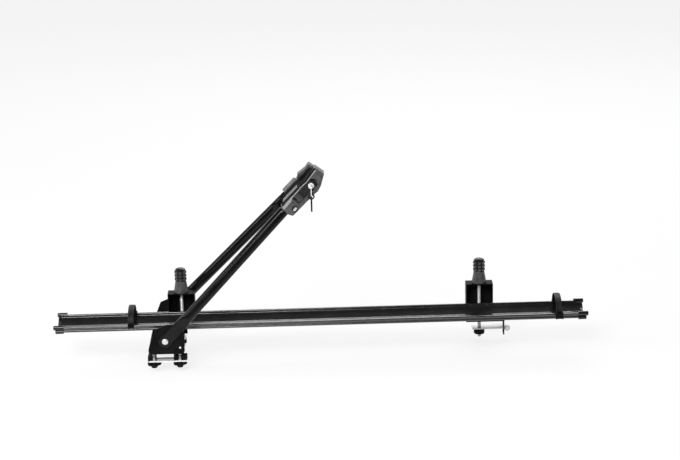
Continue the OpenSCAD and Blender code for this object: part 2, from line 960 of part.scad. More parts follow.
// Sliding jaw on the far side
module far_jaw() {
    color(black_plastic)
        on_head()
            mirror([0, 1, 0])
                difference() {
                    jaw_body(far_outline, far_jaw_t);
                    translate([tie_u, 0, tie_v])
                        across(-far_face() - 1, -jaw_in + 1, tie_r + snug);
                    translate([guide_u, 0, guide_v])
                        across(-far_face() - 1, -jaw_in + 1, guide_r + run_gap);
                    rod(barrel_axis(-20), barrel_axis(barrel_len + snug), barrel_r + snug);
                }
}

function barrel_axis(u) = [barrel_u + u, -jaw_in - far_jaw_t / 2, barrel_v];

// Grey round housing set into the back of the far jaw
module far_barrel() {
    color(grey_rubber)
        on_head()
            mirror([0, 1, 0])
                difference() {
                    union() {
                        rod(barrel_axis(0), barrel_axis(barrel_len), barrel_r);
                        translate(barrel_axis(0))
                            rotate([0, -90, 0])
                                dome(barrel_r, 2.5);
                    }
                    translate([tie_u, 0, tie_v])
                        across(-far_face() - 1, -jaw_in + 1, tie_r + snug);
                }
}

tie_end = far_face() + adjuster_h + 8;

module tie_bolt() {
    color(zinc)
        on_head()
            translate([tie_u, 0, tie_v])
                across(-recess_floor + 1, tie_end, tie_r);
}

// Round nut that sets how far the jaws close
module adjuster_nut() {
    flutes = 16;
    color(grey_rubber)
        on_head()
            translate([tie_u, far_face() + pass_gap, tie_v])
                rotate([-90, 0, 0])
                    difference() {
                        cylinder(h = adjuster_h, r = adjuster_r);
                        for (i = [0:flutes - 1])
                            rotate(i * 360 / flutes)
                                translate([adjuster_r + 0.6, 0, -1])
                                    cylinder(h = adjuster_h + 2, r = 1.6);
                        translate([0, 0, -1])
                            cylinder(h = adjuster_h + 2, r = tie_r + run_gap);
                    }
}

// Cam lever that lies flush in the near jaw and carries the lock
module clamp_lever() {
    face = near_face() - 0.5;
    color(black_plastic)
        on_head()
            difference() {
                union() {
                    translate([lever_u, -face, lever_low])
                        cube([lever_len - 8, lever_depth, lever_w]);
                    translate([lever_u + lever_len - 8, -face, lever_low + 5])
                        cube([8, lever_depth, lever_w - 10]);
                    for (v = [5, lever_w - 5])
                        translate([lever_u + lever_len - 8, -face, lever_low + v])
                            rotate([-90, 0, 0])
                                cylinder(h = lever_depth, r = 5);
                    translate([lever_u, -lever_y, lever_low])
                        cylinder(h = lever_w, r = lever_hub_r);
                }
                translate([lever_u, -lever_y, lever_low - 1])
                    cylinder(h = lever_w + 2, r = lever_pin_r + run_gap);
                translate([lock_u, 0, lock_v])
                    across(-near_face() - 1, -near_face() + 20, lock_r + run_gap);
            }
}

lock_out = near_face() + 2.5;
lock_back = near_face() - lever_depth;

module lock_barrel() {
    color(zinc)
        on_head()
            translate([lock_u, 0, lock_v])
                difference() {
                    union() {
                        across(-lock_out, -lock_back, lock_r);
                        across(-lock_out, -near_face() - pass_gap, lock_r + 1);
                    }
                    translate([-bow_t / 2 - snug, -lock_out - 1, -4 - snug])
                        cube([bow_t + 2 * snug, 9 + snug, 8 + 2 * snug]);
                }
}

// Frame at the lock, upright in space, so that the keys hang plumb
module at_lock() {
    on_head()
        translate([lock_u, 0, lock_v])
            rotate([0, arm_deg, 0])
                children();
}

key_y = -lock_out - bow_reach + 8;
hole_z = -17;

module lock_key() {
    color(zinc) {
        on_head()
            translate([lock_u, 0, lock_v])
                translate([-bow_t / 2, -lock_out - 2, -4])
                    cube([bow_t, 10, 8]);
        at_lock()
            difference() {
                translate([-bow_t / 2, 0, 0])
                    rotate([90, 0, 90])
                        linear_extrude(bow_t)
                            rounded(4, $fn = 32)
                                polygon([
                                    [-lock_out - 0.5, 6], [-lock_out - 0.5, -6], [key_y + 6, hole_z - 6],
                                    [key_y - 7, hole_z - 6], [key_y - 7, 4]
                                ]);
                translate([-bow_t, key_y, hole_z])
                    rotate([0, 90, 0])
                        cylinder(h = 2 * bow_t, r = bow_hole_r);
            }
    }
}

ring_top = hole_z - bow_hole_r + wire_r + 0.3;

module key_ring() {
    color(zinc)
        at_lock()
            translate([0, key_y, ring_top - ring_r])
                rotate([90, 0, 0])
                    rotate_extrude()
                        translate([ring_r, 0])
                            circle(r = wire_r, $fn = 24);
}

module spare_key() {
    loop_r = 2.6;
    loop_z = ring_top - 2 * ring_r - loop_r + wire_r + 0.3;
    head_r = 6;
    color(black_plastic)
        at_lock()
            translate([-spare_t / 2, key_y, loop_z])
                rotate([0, 90, 0])
                    difference() {
                        union() {
                            cylinder(h = spare_t, r = head_r);
                            translate([0, -2.5, 0])
                                cube([blade_len, 5, spare_t]);
                        }
                        translate([0, 0, -1])
                            cylinder(h = spare_t + 2, r = loop_r);
                        for (i = [0:3])
                            translate([blade_len - 4 - 4 * i, 1.2, -1])
                                cube([1.6, 3, spare_t + 2]);
                    }
}

// Straps: the buckle side is given by side, -1 for the near lip and 1 for the far lip

module strap_arch(x) {
    steps = 24;
    foot = strap_foot + snug;
    arch = [
        for (i = [0:steps])
            [-strap_half * cos(180 * i / steps), foot + strap_rise * sin(180 * i / steps)]
    ];
    color(black_plastic)
        translate([x - strap_w / 2, 0, 0])
            rotate([90, 0, 90])
                linear_extrude(strap_w)
                    polygon(strip(arch, strap_t));
}

// Clip that runs along the near lip; drop is how far it reaches down the lip's outside
module lip_clip(x, drop, w) {
    color(black_plastic)
        translate([x - w / 2, -tray_half - pass_gap - clip_t, 0])
            difference() {
                union() {
                    translate([0, 0, lip_top + pass_gap - drop])
                        cube([w, clip_t, drop + clip_t]);
                    translate([0, 0, lip_top + pass_gap])
                        cube([w, clip_t + pass_gap + lip_run + 2 * tray_sheet + clip_t, clip_t]);
                    translate([0, clip_t + 2 * pass_gap + lip_run + 2 * tray_sheet - snug, lip_top - 5])
                        cube([w, clip_t - pass_gap + snug, 6 + pass_gap]);
                }
            }
}

module buckle_ears(x) {
    ear = 2.5;
    color(black_plastic)
        for (s = [-1, 1])
            translate([x + s * (clip_w / 2 - ear / 2) - ear / 2, 0, lip_bottom + 3])
                difference() {
                    translate([0, buckle_y() - buckle_t, -3])
                        cube([ear, buckle_t + 0.5 + clip_t / 2, 6]);
                    translate([-1, buckle_y() - buckle_t / 2, 0])
                        rotate([0, 90, 0])
                            cylinder(h = ear + 2, r = buckle_pin_r + run_gap);
                }
}

// Plane just outside the clip on the near lip
function buckle_y() = -tray_half - pass_gap - clip_t - pass_gap;

module buckle(x) {
    w = clip_w - 5 - 2 * pass_gap;
    color(black_plastic)
        translate([x, buckle_y() - buckle_t / 2, lip_bottom + 3]) {
            translate([-clip_w / 2 + snug, 0, 0])
                rotate([0, 90, 0])
                    cylinder(h = clip_w - 2 * snug, r = buckle_pin_r);
            translate([-w / 2, -buckle_t / 2, 0])
                cube([w, buckle_t, buckle_h - 3]);
            translate([-w / 2, 0, 0])
                rotate([0, 90, 0])
                    cylinder(h = w, r = buckle_t / 2);
            translate([-w / 2, -buckle_t / 2 - 1.2, buckle_h - 5.5])
                cube([w, buckle_t + 1.2, 2.5]);
        }
}

module slider(x) {
    lip_clip(x, lip_h + pass_gap, clip_w);
    buckle_ears(x);
}

module front_strap() strap_arch(front_strap_x);
module rear_strap() strap_arch(rear_strap_x);
module front_strap_slider() mirror([0, 1, 0]) slider(front_strap_x);
module rear_strap_slider() slider(rear_strap_x);
module front_strap_anchor() lip_clip(front_strap_x, 6, strap_w);
module rear_strap_anchor() mirror([0, 1, 0]) lip_clip(rear_strap_x, 6, strap_w);
module front_buckle() mirror([0, 1, 0]) buckle(front_strap_x);
module rear_buckle() buckle(rear_strap_x);

tray();
front_near_end_cap();
front_far_end_cap();
rear_near_end_cap();
rear_far_end_cap();
front_beam();
near_cheek();
far_cheek();
cheek_rivets();
near_pivot_bolt();
far_pivot_bolt();
pivot_nuts();
front_saddle();
rear_saddle();
tray_bolts();
tray_nuts();
front_tower();
rear_tower();
near_clamp_bolts();
near_clamp_plate();
near_clamp_blocks();
outer_star_nut();
inner_star_nut();
front_stud();
front_knob();
front_clamp_plate();
front_stud_nut();
front_hook_pin();
rear_stud();
rear_knob();
rear_clamp_plate();
rear_stud_nut();
rear_hook_pin();
near_leg();
far_leg();
far_leg_cap();
head_yoke();
near_jaw();
near_pad();
guide_pin();
lever_pin();
far_jaw();
far_barrel();
far_pad();
tie_bolt();
adjuster_nut();
clamp_lever();
lock_barrel();
lock_key();
key_ring();
spare_key();
front_strap();
front_strap_slider();
front_strap_anchor();
front_buckle();
rear_strap();
rear_strap_slider();
rear_strap_anchor();
rear_buckle();
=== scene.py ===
# Roof mounted bike carrier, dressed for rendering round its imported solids.
# The sections follow the carrier as it is put together: tray, feet, clamps, arm, head, straps.
# Sizes are in millimetres in the code and in metres in the meshes.
import math

import bmesh
import bpy
import numpy as np
from mathutils import Matrix, Vector


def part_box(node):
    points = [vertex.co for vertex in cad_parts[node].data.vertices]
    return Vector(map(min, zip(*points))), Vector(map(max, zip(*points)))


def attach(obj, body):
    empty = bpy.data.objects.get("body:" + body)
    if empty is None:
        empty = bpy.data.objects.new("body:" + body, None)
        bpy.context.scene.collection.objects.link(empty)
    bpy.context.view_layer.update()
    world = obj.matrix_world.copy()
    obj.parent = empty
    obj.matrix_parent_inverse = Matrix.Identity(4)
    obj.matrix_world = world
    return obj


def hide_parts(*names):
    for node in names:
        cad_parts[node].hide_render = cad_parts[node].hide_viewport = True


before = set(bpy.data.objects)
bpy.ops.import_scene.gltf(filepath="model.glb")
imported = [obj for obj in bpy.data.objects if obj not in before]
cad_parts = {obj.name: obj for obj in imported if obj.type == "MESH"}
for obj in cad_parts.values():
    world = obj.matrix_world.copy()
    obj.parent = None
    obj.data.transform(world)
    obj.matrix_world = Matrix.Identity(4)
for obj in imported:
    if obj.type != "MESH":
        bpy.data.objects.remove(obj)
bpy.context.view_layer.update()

# Tray: one length of 2 mm sheet steel, folded into a channel with a rolled, grooved lip
# on each side, then powder coated black. It is bolted down through its floor.
MM = 0.001
TRAY_FROM, TRAY_TO = -290.0, 1132.0
TRAY_FOLDS = [
    (22, 40), (49.5, 54), (49.5, 61), (55, 61), (55, 57), (53, 55.5), (53, 53.5), (55, 52), (55, 48),
]
TRAY_BENDS = [2.0, 4.0, 2.4, 3.0, 1.0, 1.0, 1.2, 1.6]
TRAY_SHEET, TRAY_STATIONS, END_EDGE, END_SHRINK = 2.0, 60, 0.4, 0.6
CREASE_DEG = 38


def folded_line(corners, radii, steps=6):
    """Polyline with each inner corner replaced by a curve: its ends lie the tangent length
    radius * tan(turn / 2) from the corner, shortened to 45% of the shorter leg."""
    p = np.array(corners, float)
    out = [p[:1]]
    for a, b, c, radius in zip(p[:-2], p[1:-1], p[2:], radii):
        back, ahead = (a - b) / np.linalg.norm(a - b), (c - b) / np.linalg.norm(c - b)
        turn = math.pi - math.acos(np.clip(back @ ahead, -1, 1))
        reach = min(radius * math.tan(turn / 2), 0.45 * np.linalg.norm(a - b), 0.45 * np.linalg.norm(c - b))
        t = np.linspace(0, 1, steps)[:, None]
        out.append((1 - t) ** 2 * (b + back * reach) + 2 * t * (1 - t) * b + t ** 2 * (b + ahead * reach))
    out.append(p[-1:])
    return np.concatenate(out)


def line_normals(line):
    """Unit normals of a flat polyline: its gradient turned by a quarter and divided by its length."""
    d = np.gradient(line, axis=0)
    return np.stack([-d[:, 1], d[:, 0]], 1) / np.linalg.norm(d, axis=1, keepdims=True)


def sheet_ring(line, thickness):
    """Closed outline of a strip of sheet: the line moved half the thickness to both sides along
    its normals."""
    n = line_normals(line)
    return np.concatenate([line + n * thickness / 2, (line - n * thickness / 2)[::-1]])


def skin(name, grid, capped=True):
    """Mesh over a grid of points in mm, shape (rows, columns, 3): quads join neighbouring rows and
    columns and the last column to the first, and caps close the first and last row."""
    rows, cols = grid.shape[:2]
    i = np.arange(rows - 1)[:, None] * cols
    j = np.arange(cols)[None, :]
    k = (j + 1) % cols
    quads = np.stack([i + j, i + k, i + cols + k, i + cols + j], -1).reshape(-1, 4)
    faces = quads.tolist()
    if capped:
        faces += [list(range(cols - 1, -1, -1)), list(range((rows - 1) * cols, rows * cols))]
    mesh = bpy.data.meshes.new(name)
    mesh.from_pydata((grid.reshape(-1, 3) * MM).tolist(), [], faces)
    work = bmesh.new()
    work.from_mesh(mesh)
    bmesh.ops.remove_doubles(work, verts=work.verts, dist=1e-7)
    bmesh.ops.recalc_face_normals(work, faces=work.faces)
    work.to_mesh(mesh)
    work.free()
    mesh.polygons.foreach_set("use_smooth", np.ones(len(mesh.polygons), bool))
    mesh.set_sharp_from_angle(angle=math.radians(CREASE_DEG))
    return mesh


def joined(name, meshes):
    """One mesh from several separate shells."""
    work = bmesh.new()
    for mesh in meshes:
        work.from_mesh(mesh)
        bpy.data.meshes.remove(mesh)
    mesh = bpy.data.meshes.new(name)
    work.to_mesh(mesh)
    work.free()
    return mesh


def fitted(mesh, body, slot, finish, *nodes):
    """Puts a finished mesh on its body as a piece that stands for the named solids."""
    piece = bpy.data.objects.new(mesh.name, mesh)
    bpy.context.scene.collection.objects.link(piece)
    mesh.materials.clear()
    mesh.materials.append(finish)
    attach(piece, body)
    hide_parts(*nodes)
    return piece


def surface_finish(name, dark, light, blotch, rough, grain, height, metallic=0.0, **sockets):
    """Material of one surface: a soft noise of size 1/blotch mixes the dark and light colour and moves
    the roughness between its two values, and a fine noise of size 1/grain raises the surface by height
    in metres. Other shader sockets are given by name."""
    finish = bpy.data.materials.new(name)
    finish.use_nodes = True
    nodes, links = finish.node_tree.nodes, finish.node_tree.links
    shader = nodes["Principled BSDF"]
    place = nodes.new("ShaderNodeTexCoord")
    cloud, fine = nodes.new("ShaderNodeTexNoise"), nodes.new("ShaderNodeTexNoise")
    for noise, scale, detail in ((cloud, blotch, 4.0), (fine, grain, 2.0)):
        noise.inputs["Scale"].default_value = scale
        noise.inputs["Detail"].default_value = detail
        links.new(place.outputs["Object"], noise.inputs["Vector"])
    tone = nodes.new("ShaderNodeValToRGB")
    tone.color_ramp.elements[0].position, tone.color_ramp.elements[1].position = 0.35, 0.68
    tone.color_ramp.elements[0].color, tone.color_ramp.elements[1].color = (*dark, 1), (*light, 1)
    links.new(cloud.outputs["Fac"], tone.inputs["Fac"])
    links.new(tone.outputs["Color"], shader.inputs["Base Color"])
    span = nodes.new("ShaderNodeMapRange")
    span.inputs["From Min"].default_value, span.inputs["From Max"].default_value = 0.3, 0.7
    span.inputs["To Min"].default_value, span.inputs["To Max"].default_value = rough
    links.new(cloud.outputs["Fac"], span.inputs["Value"])
    links.new(span.outputs["Result"], shader.inputs["Roughness"])
    relief = nodes.new("ShaderNodeBump")
    relief.inputs["Strength"].default_value = 1.0
    relief.inputs["Distance"].default_value = height
    links.new(fine.outputs["Fac"], relief.inputs["Height"])
    links.new(relief.outputs["Normal"], shader.inputs["Normal"])
    shader.inputs["Metallic"].default_value = metallic
    for socket, value in sockets.items():
        shader.inputs[socket.replace("_", " ")].default_value = value
    return finish


tray_paint = surface_finish(
    "tray_paint", (0.004, 0.004, 0.0043), (0.007, 0.007, 0.0074), 26, (0.21, 0.26), 700, 0.000001,
    Specular_IOR_Level=1.0, Coat_Weight=1.0, Coat_Roughness=0.20)
mirrored_folds = [(-y, z) for y, z in TRAY_FOLDS[::-1]]
tray_line = folded_line(mirrored_folds + TRAY_FOLDS, TRAY_BENDS[::-1] + TRAY_BENDS)
tray_ring = sheet_ring(tray_line, TRAY_SHEET)
tray_x = np.concatenate(
    [[TRAY_FROM], np.linspace(TRAY_FROM + END_EDGE, TRAY_TO - END_EDGE, TRAY_STATIONS), [TRAY_TO]])
tray_shrink = np.where((tray_x == TRAY_FROM) | (tray_x == TRAY_TO), END_SHRINK, 1.0)[:, None, None]
tray_mid = np.concatenate([tray_line, tray_line[::-1]])
tray_grid = np.zeros((len(tray_x), len(tray_ring), 3))
tray_grid[..., 0] = tray_x[:, None]
tray_grid[..., 1:] = tray_mid + (tray_ring - tray_mid) * tray_shrink
fitted(skin("folded_tray", tray_grid), "base", "black_steel", tray_paint, "tray")


# End caps: four glossy black plugs pushed over the cut ends of the lips, each with two round lobes.
# The far ones also have a web that covers the cut edge of the tray's wall and floor.
CAP_EDGE, SHARP_DEG, FLAT_DEG = 0.5, 32, 0.8


def eased(node, width, segments):
    """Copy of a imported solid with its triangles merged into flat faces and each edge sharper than
    SHARP_DEG rounded by the width in mm, or left sharp where the width is 0."""
    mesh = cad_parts[node].data.copy()
    mesh.name = "eased_" + node
    work = bmesh.new()
    work.from_mesh(mesh)
    bmesh.ops.remove_doubles(work, verts=work.verts, dist=2e-6)
    bmesh.ops.dissolve_limit(work, verts=work.verts, edges=work.edges, angle_limit=math.radians(FLAT_DEG))
    sharp = [e for e in work.edges if e.is_manifold and e.calc_face_angle(0) > math.radians(SHARP_DEG)]
    if width:
        bmesh.ops.bevel(
            work, geom=sharp, offset=width * MM, offset_type="OFFSET", segments=segments, profile=0.5,
            affect="EDGES", clamp_overlap=True)
    work.to_mesh(mesh)
    work.free()
    mesh.polygons.foreach_set("use_smooth", np.ones(len(mesh.polygons), bool))
    mesh.set_sharp_from_angle(angle=math.radians(SHARP_DEG))
    return mesh


def dress(node, body, slot, finish, width, segments=2):
    """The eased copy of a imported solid, on its body in place of the solid, with flat faces kept flat."""
    piece = fitted(eased(node, width, segments), body, slot, finish, node)
    even = piece.modifiers.new("even_normals", "WEIGHTED_NORMAL")
    even.keep_sharp = True


cap_black = surface_finish(
    "cap_black", (0.006, 0.006, 0.0063), (0.011, 0.011, 0.0113), 60, (0.07, 0.12), 1600, 0.000002,
    Specular_IOR_Level=0.45, Coat_Weight=0.3, Coat_Roughness=0.06)
for end in ("front_near", "front_far", "rear_near", "rear_far"):
    dress(end + "_end_cap", "base", "black_plastic", cap_black, CAP_EDGE)


# Front foot: a folded steel channel lies across under the tray and carries a stamped cheek on each
# side, with a hat-shaped saddle up to the tray floor. All of it is powder coated steel plate.
powder_black = surface_finish(
    "powder_black", (0.004, 0.004, 0.0042), (0.009, 0.009, 0.0093), 30, (0.40, 0.54), 900, 0.00002,
    Specular_IOR_Level=0.05)
for node, edge in (("front_beam", 0.7), ("near_cheek", 0.8), ("far_cheek", 0.8), ("front_saddle", 0.7)):
    dress(node, "base", "black_steel", powder_black, edge)


# Rear foot: a folded tongue of the same coated plate, bolted under the tray's floor. It reaches out
# past the far lip and carries the rear clamp tower.
dress("rear_saddle", "base", "black_steel", powder_black, 0.7)


# Pivot bolts, rivets and tray bolts: bought-in fasteners of zinc plated steel, with domed heads and
# hexagon nuts. The pivot bolts carry the arm in the cheeks, and the others tie the feet to the tray.
zinc_bright = surface_finish(
    "zinc_bright", (0.72, 0.73, 0.74), (0.90, 0.90, 0.90), 45, (0.26, 0.42), 700, 0.000012, metallic=0.55)
for node, edge in (
        ("cheek_rivets", 0.2), ("near_pivot_bolt", 0.4), ("far_pivot_bolt", 0.4), ("pivot_nuts", 0.5),
        ("tray_bolts", 0.3), ("tray_nuts", 0.4)):
    dress(node, "base", "zinc", zinc_bright, edge)


# Clamp towers: folded steel channels that stand on the far ends of the feet, powder coated. Each has
# a hook plate down its outboard side, slotted for the end of the clamp plate.
for node in ("front_tower", "rear_tower"):
    dress(node, "base", "black_steel", powder_black, 0.9)


# Near clamp: two coach bolts hang from the beam, through moulded blocks and a zinc plate below them.
# The bolts are rolled steel with a full thread.
INNER_SCREW, OUTER_SCREW, NEAR_CLAMP_Y = 39.0, -30.0, -100.0
SCREW_END, SCREW_TOP, BOLT_R, BOLT_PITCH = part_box("near_clamp_bolts")[0].z / MM, 3.0, 4.0, 1.25
ROOT_SHARE, THREAD_STEPS, THREAD_SIDES = 0.55, 5, 24
BOLT_HEAD = [(4.0, 0.05), (7.8, 0.05), (8.0, 0.3), (7.2, 1.2), (5.0, 2.9), (2.5, 3.75), (0.4, 4.0)]


def turned(name, profile, at, sides=48, ripple=None):
    """Surface of revolution about a vertical axis: the profile's (radius, height) pairs turned round
    the point at, in mm. Ripple takes the angle and height arrays and gives what is added to the radius."""
    r, z = np.array(profile, float).T
    a = np.linspace(0, 2 * math.pi, sides, endpoint=False)
    radius = r[:, None] + (ripple(a[None, :], z[:, None]) if ripple else 0 * a[None, :])
    grid = np.stack([at[0] + radius * np.cos(a), at[1] + radius * np.sin(a), at[2] + z[:, None] + 0 * a], -1)
    return skin(name, grid)


def threaded(name, r, pitch, z0, z1, at):
    """Threaded rod from z0 to z1: the radius falls by half a pitch in a V between turns, and the V's
    height moves up one pitch each turn. The ends are chamfered to the root."""
    z = np.linspace(z0, z1, int((z1 - z0) / pitch * THREAD_STEPS))
    root = ROOT_SHARE * pitch
    body = np.stack([np.full_like(z, r), z], 1)

    def groove(angle, height):
        wave = np.abs(((height / pitch - angle / (2 * math.pi)) % 1.0) - 0.5) * 2
        lead = np.clip(np.minimum(height - z0, z1 - height) / (2 * root), 0, 1)
        return -root * np.maximum(wave, 1 - lead)

    return turned(name, body, at, THREAD_SIDES, groove)


near_bolts, head = [], [(r, SCREW_TOP + z) for r, z in BOLT_HEAD]
for x in (OUTER_SCREW, INNER_SCREW):
    at = (x, NEAR_CLAMP_Y, 0)
    near_bolts.append(threaded("thread", BOLT_R, BOLT_PITCH, SCREW_END, SCREW_TOP + 0.5, at))
    near_bolts.append(turned("head", head, at))
fitted(joined("coach_bolts", near_bolts), "base", "zinc", zinc_bright, "near_clamp_bolts")
zinc_plate = surface_finish(
    "zinc_plate", (0.84, 0.84, 0.85), (0.93, 0.93, 0.93), 35, (0.30, 0.46), 500, 0.000004, metallic=0.2)
moulded_black = surface_finish(
    "moulded_black", (0.004, 0.004, 0.0042), (0.008, 0.008, 0.0083), 60, (0.40, 0.54), 2600, 0.000006,
    Specular_IOR_Level=0.06)
dress("near_clamp_plate", "near_plate", "zinc", zinc_plate, 0.6)
dress("near_clamp_blocks", "near_plate", "black_plastic", moulded_black, 0.8)


# Hand nuts of the near clamp: five-lobed knobs moulded in black plastic, each with a round collar below.
# They run up the two bolts and press the plate against what it grips.
STAR_R, STAR_H, STAR_LOBES, CLAMP_UNDER = 19.0, 13.0, 5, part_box("outer_star_nut")[1].z / MM
VALLEY_R, VALLEY_CUT, NUT_SIDES = 14.2, 1.4, 100


def star_nut(name, x):
    """Lobed knob: a rounded profile whose radius swells by a fifth-turn cosine, raised to a power
    that makes round lobes and narrow valleys, fading out at the collar."""
    top = CLAMP_UNDER
    profile = [(4.1, top), (11.2, top), (12.9, top - 0.5), (14.0, top - 1.8), (VALLEY_R, top - 5),
               (VALLEY_R, top - 9), (13.6, top - 11.4), (12.4, top - 12.6), (10.5, top - 13),
               (8.6, top - 13.2), (8.0, top - 14), (8.0, top - 18.3), (7.4, top - 19), (4.1, top - 19)]

    def lobes(angle, height):
        depth = np.clip((height - (top - STAR_H)) / 2.2, 0, 1) * np.clip((top - height) / 1.8, 0, 1)
        wave = (0.5 + 0.5 * np.cos(STAR_LOBES * angle)) ** 0.8
        return (STAR_R - VALLEY_R) * depth * wave * (2 - wave) - VALLEY_CUT * depth * (1 - wave) ** 3

    return turned(name, profile, (x, NEAR_CLAMP_Y, 0), NUT_SIDES, lobes)


for name, x in (("outer_star_nut", OUTER_SCREW), ("inner_star_nut", INNER_SCREW)):
    fitted(star_nut("lobed_" + name, x), name, "black_plastic", moulded_black, name)


# Far clamps, front and rear: a long threaded stud down each tower, turned by a tall moulded knob
# with a flared skirt and a grip of raised squares, and drawing up the zinc plate at its foot.
STUD_R, STUD_PITCH, STUD_TOP, TOWER_TOP = 5.0, 2.0, 165.0, 110.6
KNOB_H, SKIRT_H, KNOB_RIBS, KNOB_ROW = 69.0, 32.0, 8, 9.8
STUD_HOLE_R, SHAFT_R, GRIP_R, GRIP_STATIONS, KNOB_SIDES = 5.1, 15.0, 15.1, 48, 144
GROOVE_SHADE_FROM, GROOVE_SHADE_DEEP, SQUARE_RISE, SQUARE_DROP = 15.6, 1.4, 1.6, 0.2
NUT_R, NUT_H, NUT_RIBS, NUT_RIPPLE = {"front": 9.0, "rear": 15.0}, 16.0, 10, 0.7
FAR_STUDS = {
    end: tuple(c / 2 / MM for c in sum(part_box(end + "_stud"), Vector())[:2]) for end in ("front", "rear")}
knob_charcoal = surface_finish(
    "knob_charcoal", (0.040, 0.040, 0.042), (0.085, 0.085, 0.087), 70, (0.30, 0.40), 2000, 0.000004,
    Specular_IOR_Level=0.3)


def painted_groove_shade(finish, shade):
    """Painted shade in the grooves, and a darker dome: the mesh's own groove attribute, 0 on the surface
    and 1 at a groove's floor and on the dome, mixes the base colour with the shade."""
    nodes, links = finish.node_tree.nodes, finish.node_tree.links
    shader = nodes["Principled BSDF"]
    depth, tone = nodes.new("ShaderNodeAttribute"), nodes.new("ShaderNodeMix")
    depth.attribute_name, tone.data_type = "groove", "RGBA"
    tone.inputs["B"].default_value = (*shade, 1)
    links.new(depth.outputs["Fac"], tone.inputs["Factor"])
    links.new(shader.inputs["Base Color"].links[0].from_socket, tone.inputs["A"])
    links.new(tone.outputs["Result"], shader.inputs["Base Color"])


# Painted shade: the knob's grooves and its dome are darkened to near black.
painted_groove_shade(knob_charcoal, (0.006, 0.006, 0.0063))


def tall_knob(name, at):
    """Knob profile from the stud hole out over the skirt's foot, up its cone and the straight grip to
    the domed top. The grip's radius carries the lesser of an eighth-turn cosine and a cosine of the
    height, clipped, which leaves raised squares between grooves."""
    skirt = [(STUD_HOLE_R, 0.0), (19.0, 0.0), (19.8, 0.4), (20.0, 1.4), (19.7, 4.0), (18.6, 10.0),
             (17.2, 18.0), (16.0, 25.0), (15.2, 30.0), (SHAFT_R, SKIRT_H)]
    grip = [(GRIP_R, h) for h in np.linspace(SKIRT_H + 0.7, KNOB_H - 7.2, GRIP_STATIONS)]
    dome = [(SHAFT_R, KNOB_H - 6.0), (14.2, KNOB_H - 4.3), (12.4, KNOB_H - 2.7), (9.6, KNOB_H - 1.3),
            (6.0, KNOB_H - 0.4), (2.5, KNOB_H - 0.05), (0.3, KNOB_H)]

    def ribs(angle, height):
        here = np.clip((height - SKIRT_H) / 2.0, 0, 1) * np.clip((KNOB_H - 5.0 - height) / 2.5, 0, 1)
        column = 1.2 + 2.4 * np.cos(KNOB_RIBS * angle)
        row = 1.2 - 2.4 * np.cos(2 * math.pi * (height - SKIRT_H - 1.0) / KNOB_ROW)
        return here * (SQUARE_RISE * np.clip(np.minimum(column, row), -1, 1) - SQUARE_DROP)

    mesh = turned(name, skirt + grip + dome, (*at, TOWER_TOP), KNOB_SIDES, ribs)
    spot = np.empty(len(mesh.vertices) * 3)
    mesh.vertices.foreach_get("co", spot)
    x, y, z = spot.reshape(-1, 3).T / MM
    # Painted shade: the groove attribute is 1 at the grooves' floors and over the dome, where the colour is
    # darkened.
    gripped = z > TOWER_TOP + SKIRT_H + 0.5
    depth = np.clip((GROOVE_SHADE_FROM - np.hypot(x - at[0], y - at[1])) / GROOVE_SHADE_DEEP, 0, 1) * gripped
    mesh.attributes.new("groove", "FLOAT", "POINT").data.foreach_set("value", depth)
    return mesh


def ribbed_nut(name, at, r):
    """Round nut under the plate, its side rippled by a tenth-turn cosine, its lower edge rounded."""
    top, low, side = CLAMP_UNDER, CLAMP_UNDER - NUT_H, r - NUT_RIPPLE
    profile = [(STUD_HOLE_R, top), (r - 1.2, top), (side, top - 0.6), (side, top - 5), (side, low + 2.2),
               (r - 1.3, low + 0.6), (r - 2.4, low), (STUD_HOLE_R, low)]

    def ribs(angle, height):
        fade = np.clip((top - height) / 1.0, 0, 1) * np.clip((height - low) / 2.0, 0, 1)
        return NUT_RIPPLE * np.cos(NUT_RIBS * angle) * fade

    return turned(name, profile, (*at, 0), NUT_SIDES, ribs)


for end, at in FAR_STUDS.items():
    stud_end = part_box(end + "_stud")[0].z / MM
    fitted(threaded(end + "_long_thread", STUD_R, STUD_PITCH, stud_end, STUD_TOP, (*at, 0)),
           end + "_knob", "zinc", zinc_bright, end + "_stud")
    fitted(tall_knob(end + "_tall_knob", at), end + "_knob", "black_plastic", knob_charcoal, end + "_knob")
    dress(end + "_clamp_plate", end + "_plate", "zinc", zinc_plate, 0.6)
    dress(end + "_hook_pin", end + "_plate", "zinc", zinc_bright, 0.4)
    fitted(ribbed_nut(end + "_ribbed_nut", at, NUT_R[end]), end + "_plate", "black_plastic", moulded_black,
           end + "_stud_nut")


# Holding arm: two legs of 28 mm steel tube, gloss black. Each foot is pressed flat round its pivot
# bolt, and the legs run together towards the head, where a cross tube is welded between them.
ARM_DEG, PIVOT_X, PIVOT_Z = 45.9, 3.0, 37.0
LEG_LEN, LEG_R, FOOT_R, FOOT_HALF, FOOT_Y, HEAD_Y = 470.0, 14.0, 18.0, 2.5, 118.9, 62.0
PLATE_HALF, PRESS_FROM, PRESS_TO, BEND_U, SPIGOT_R = 16.0, 58.0, 98.0, 64.0, 10.5
ROUND_TO, FLAT_POWER, TUBE_POWER, LEG_SIDES = 8.2, 7.0, 2.0, 56
NEAR_SPIGOT, FAR_SPIGOT, YOKE_U, YOKE_R, BEAD = 20, 8, LEG_LEN - 30, 10.0, 2.4
gloss_black = surface_finish(
    "gloss_black", (0.004, 0.004, 0.0045), (0.007, 0.007, 0.0075), 20, (0.15, 0.23), 260, 0.000004,
    Specular_IOR_Level=0.12, Coat_Weight=0.15, Coat_Roughness=0.07)


def on_arm(u, y, v):
    """Points given along the arm (u), across the carrier (y) and across the arm (v), turned up by the
    arm's angle about the pivot."""
    c, s = math.cos(math.radians(ARM_DEG)), math.sin(math.radians(ARM_DEG))
    u, y, v = np.broadcast_arrays(u, y, v)
    return np.stack([PIVOT_X + u * c - v * s, y, PIVOT_Z + u * s + v * c], -1)


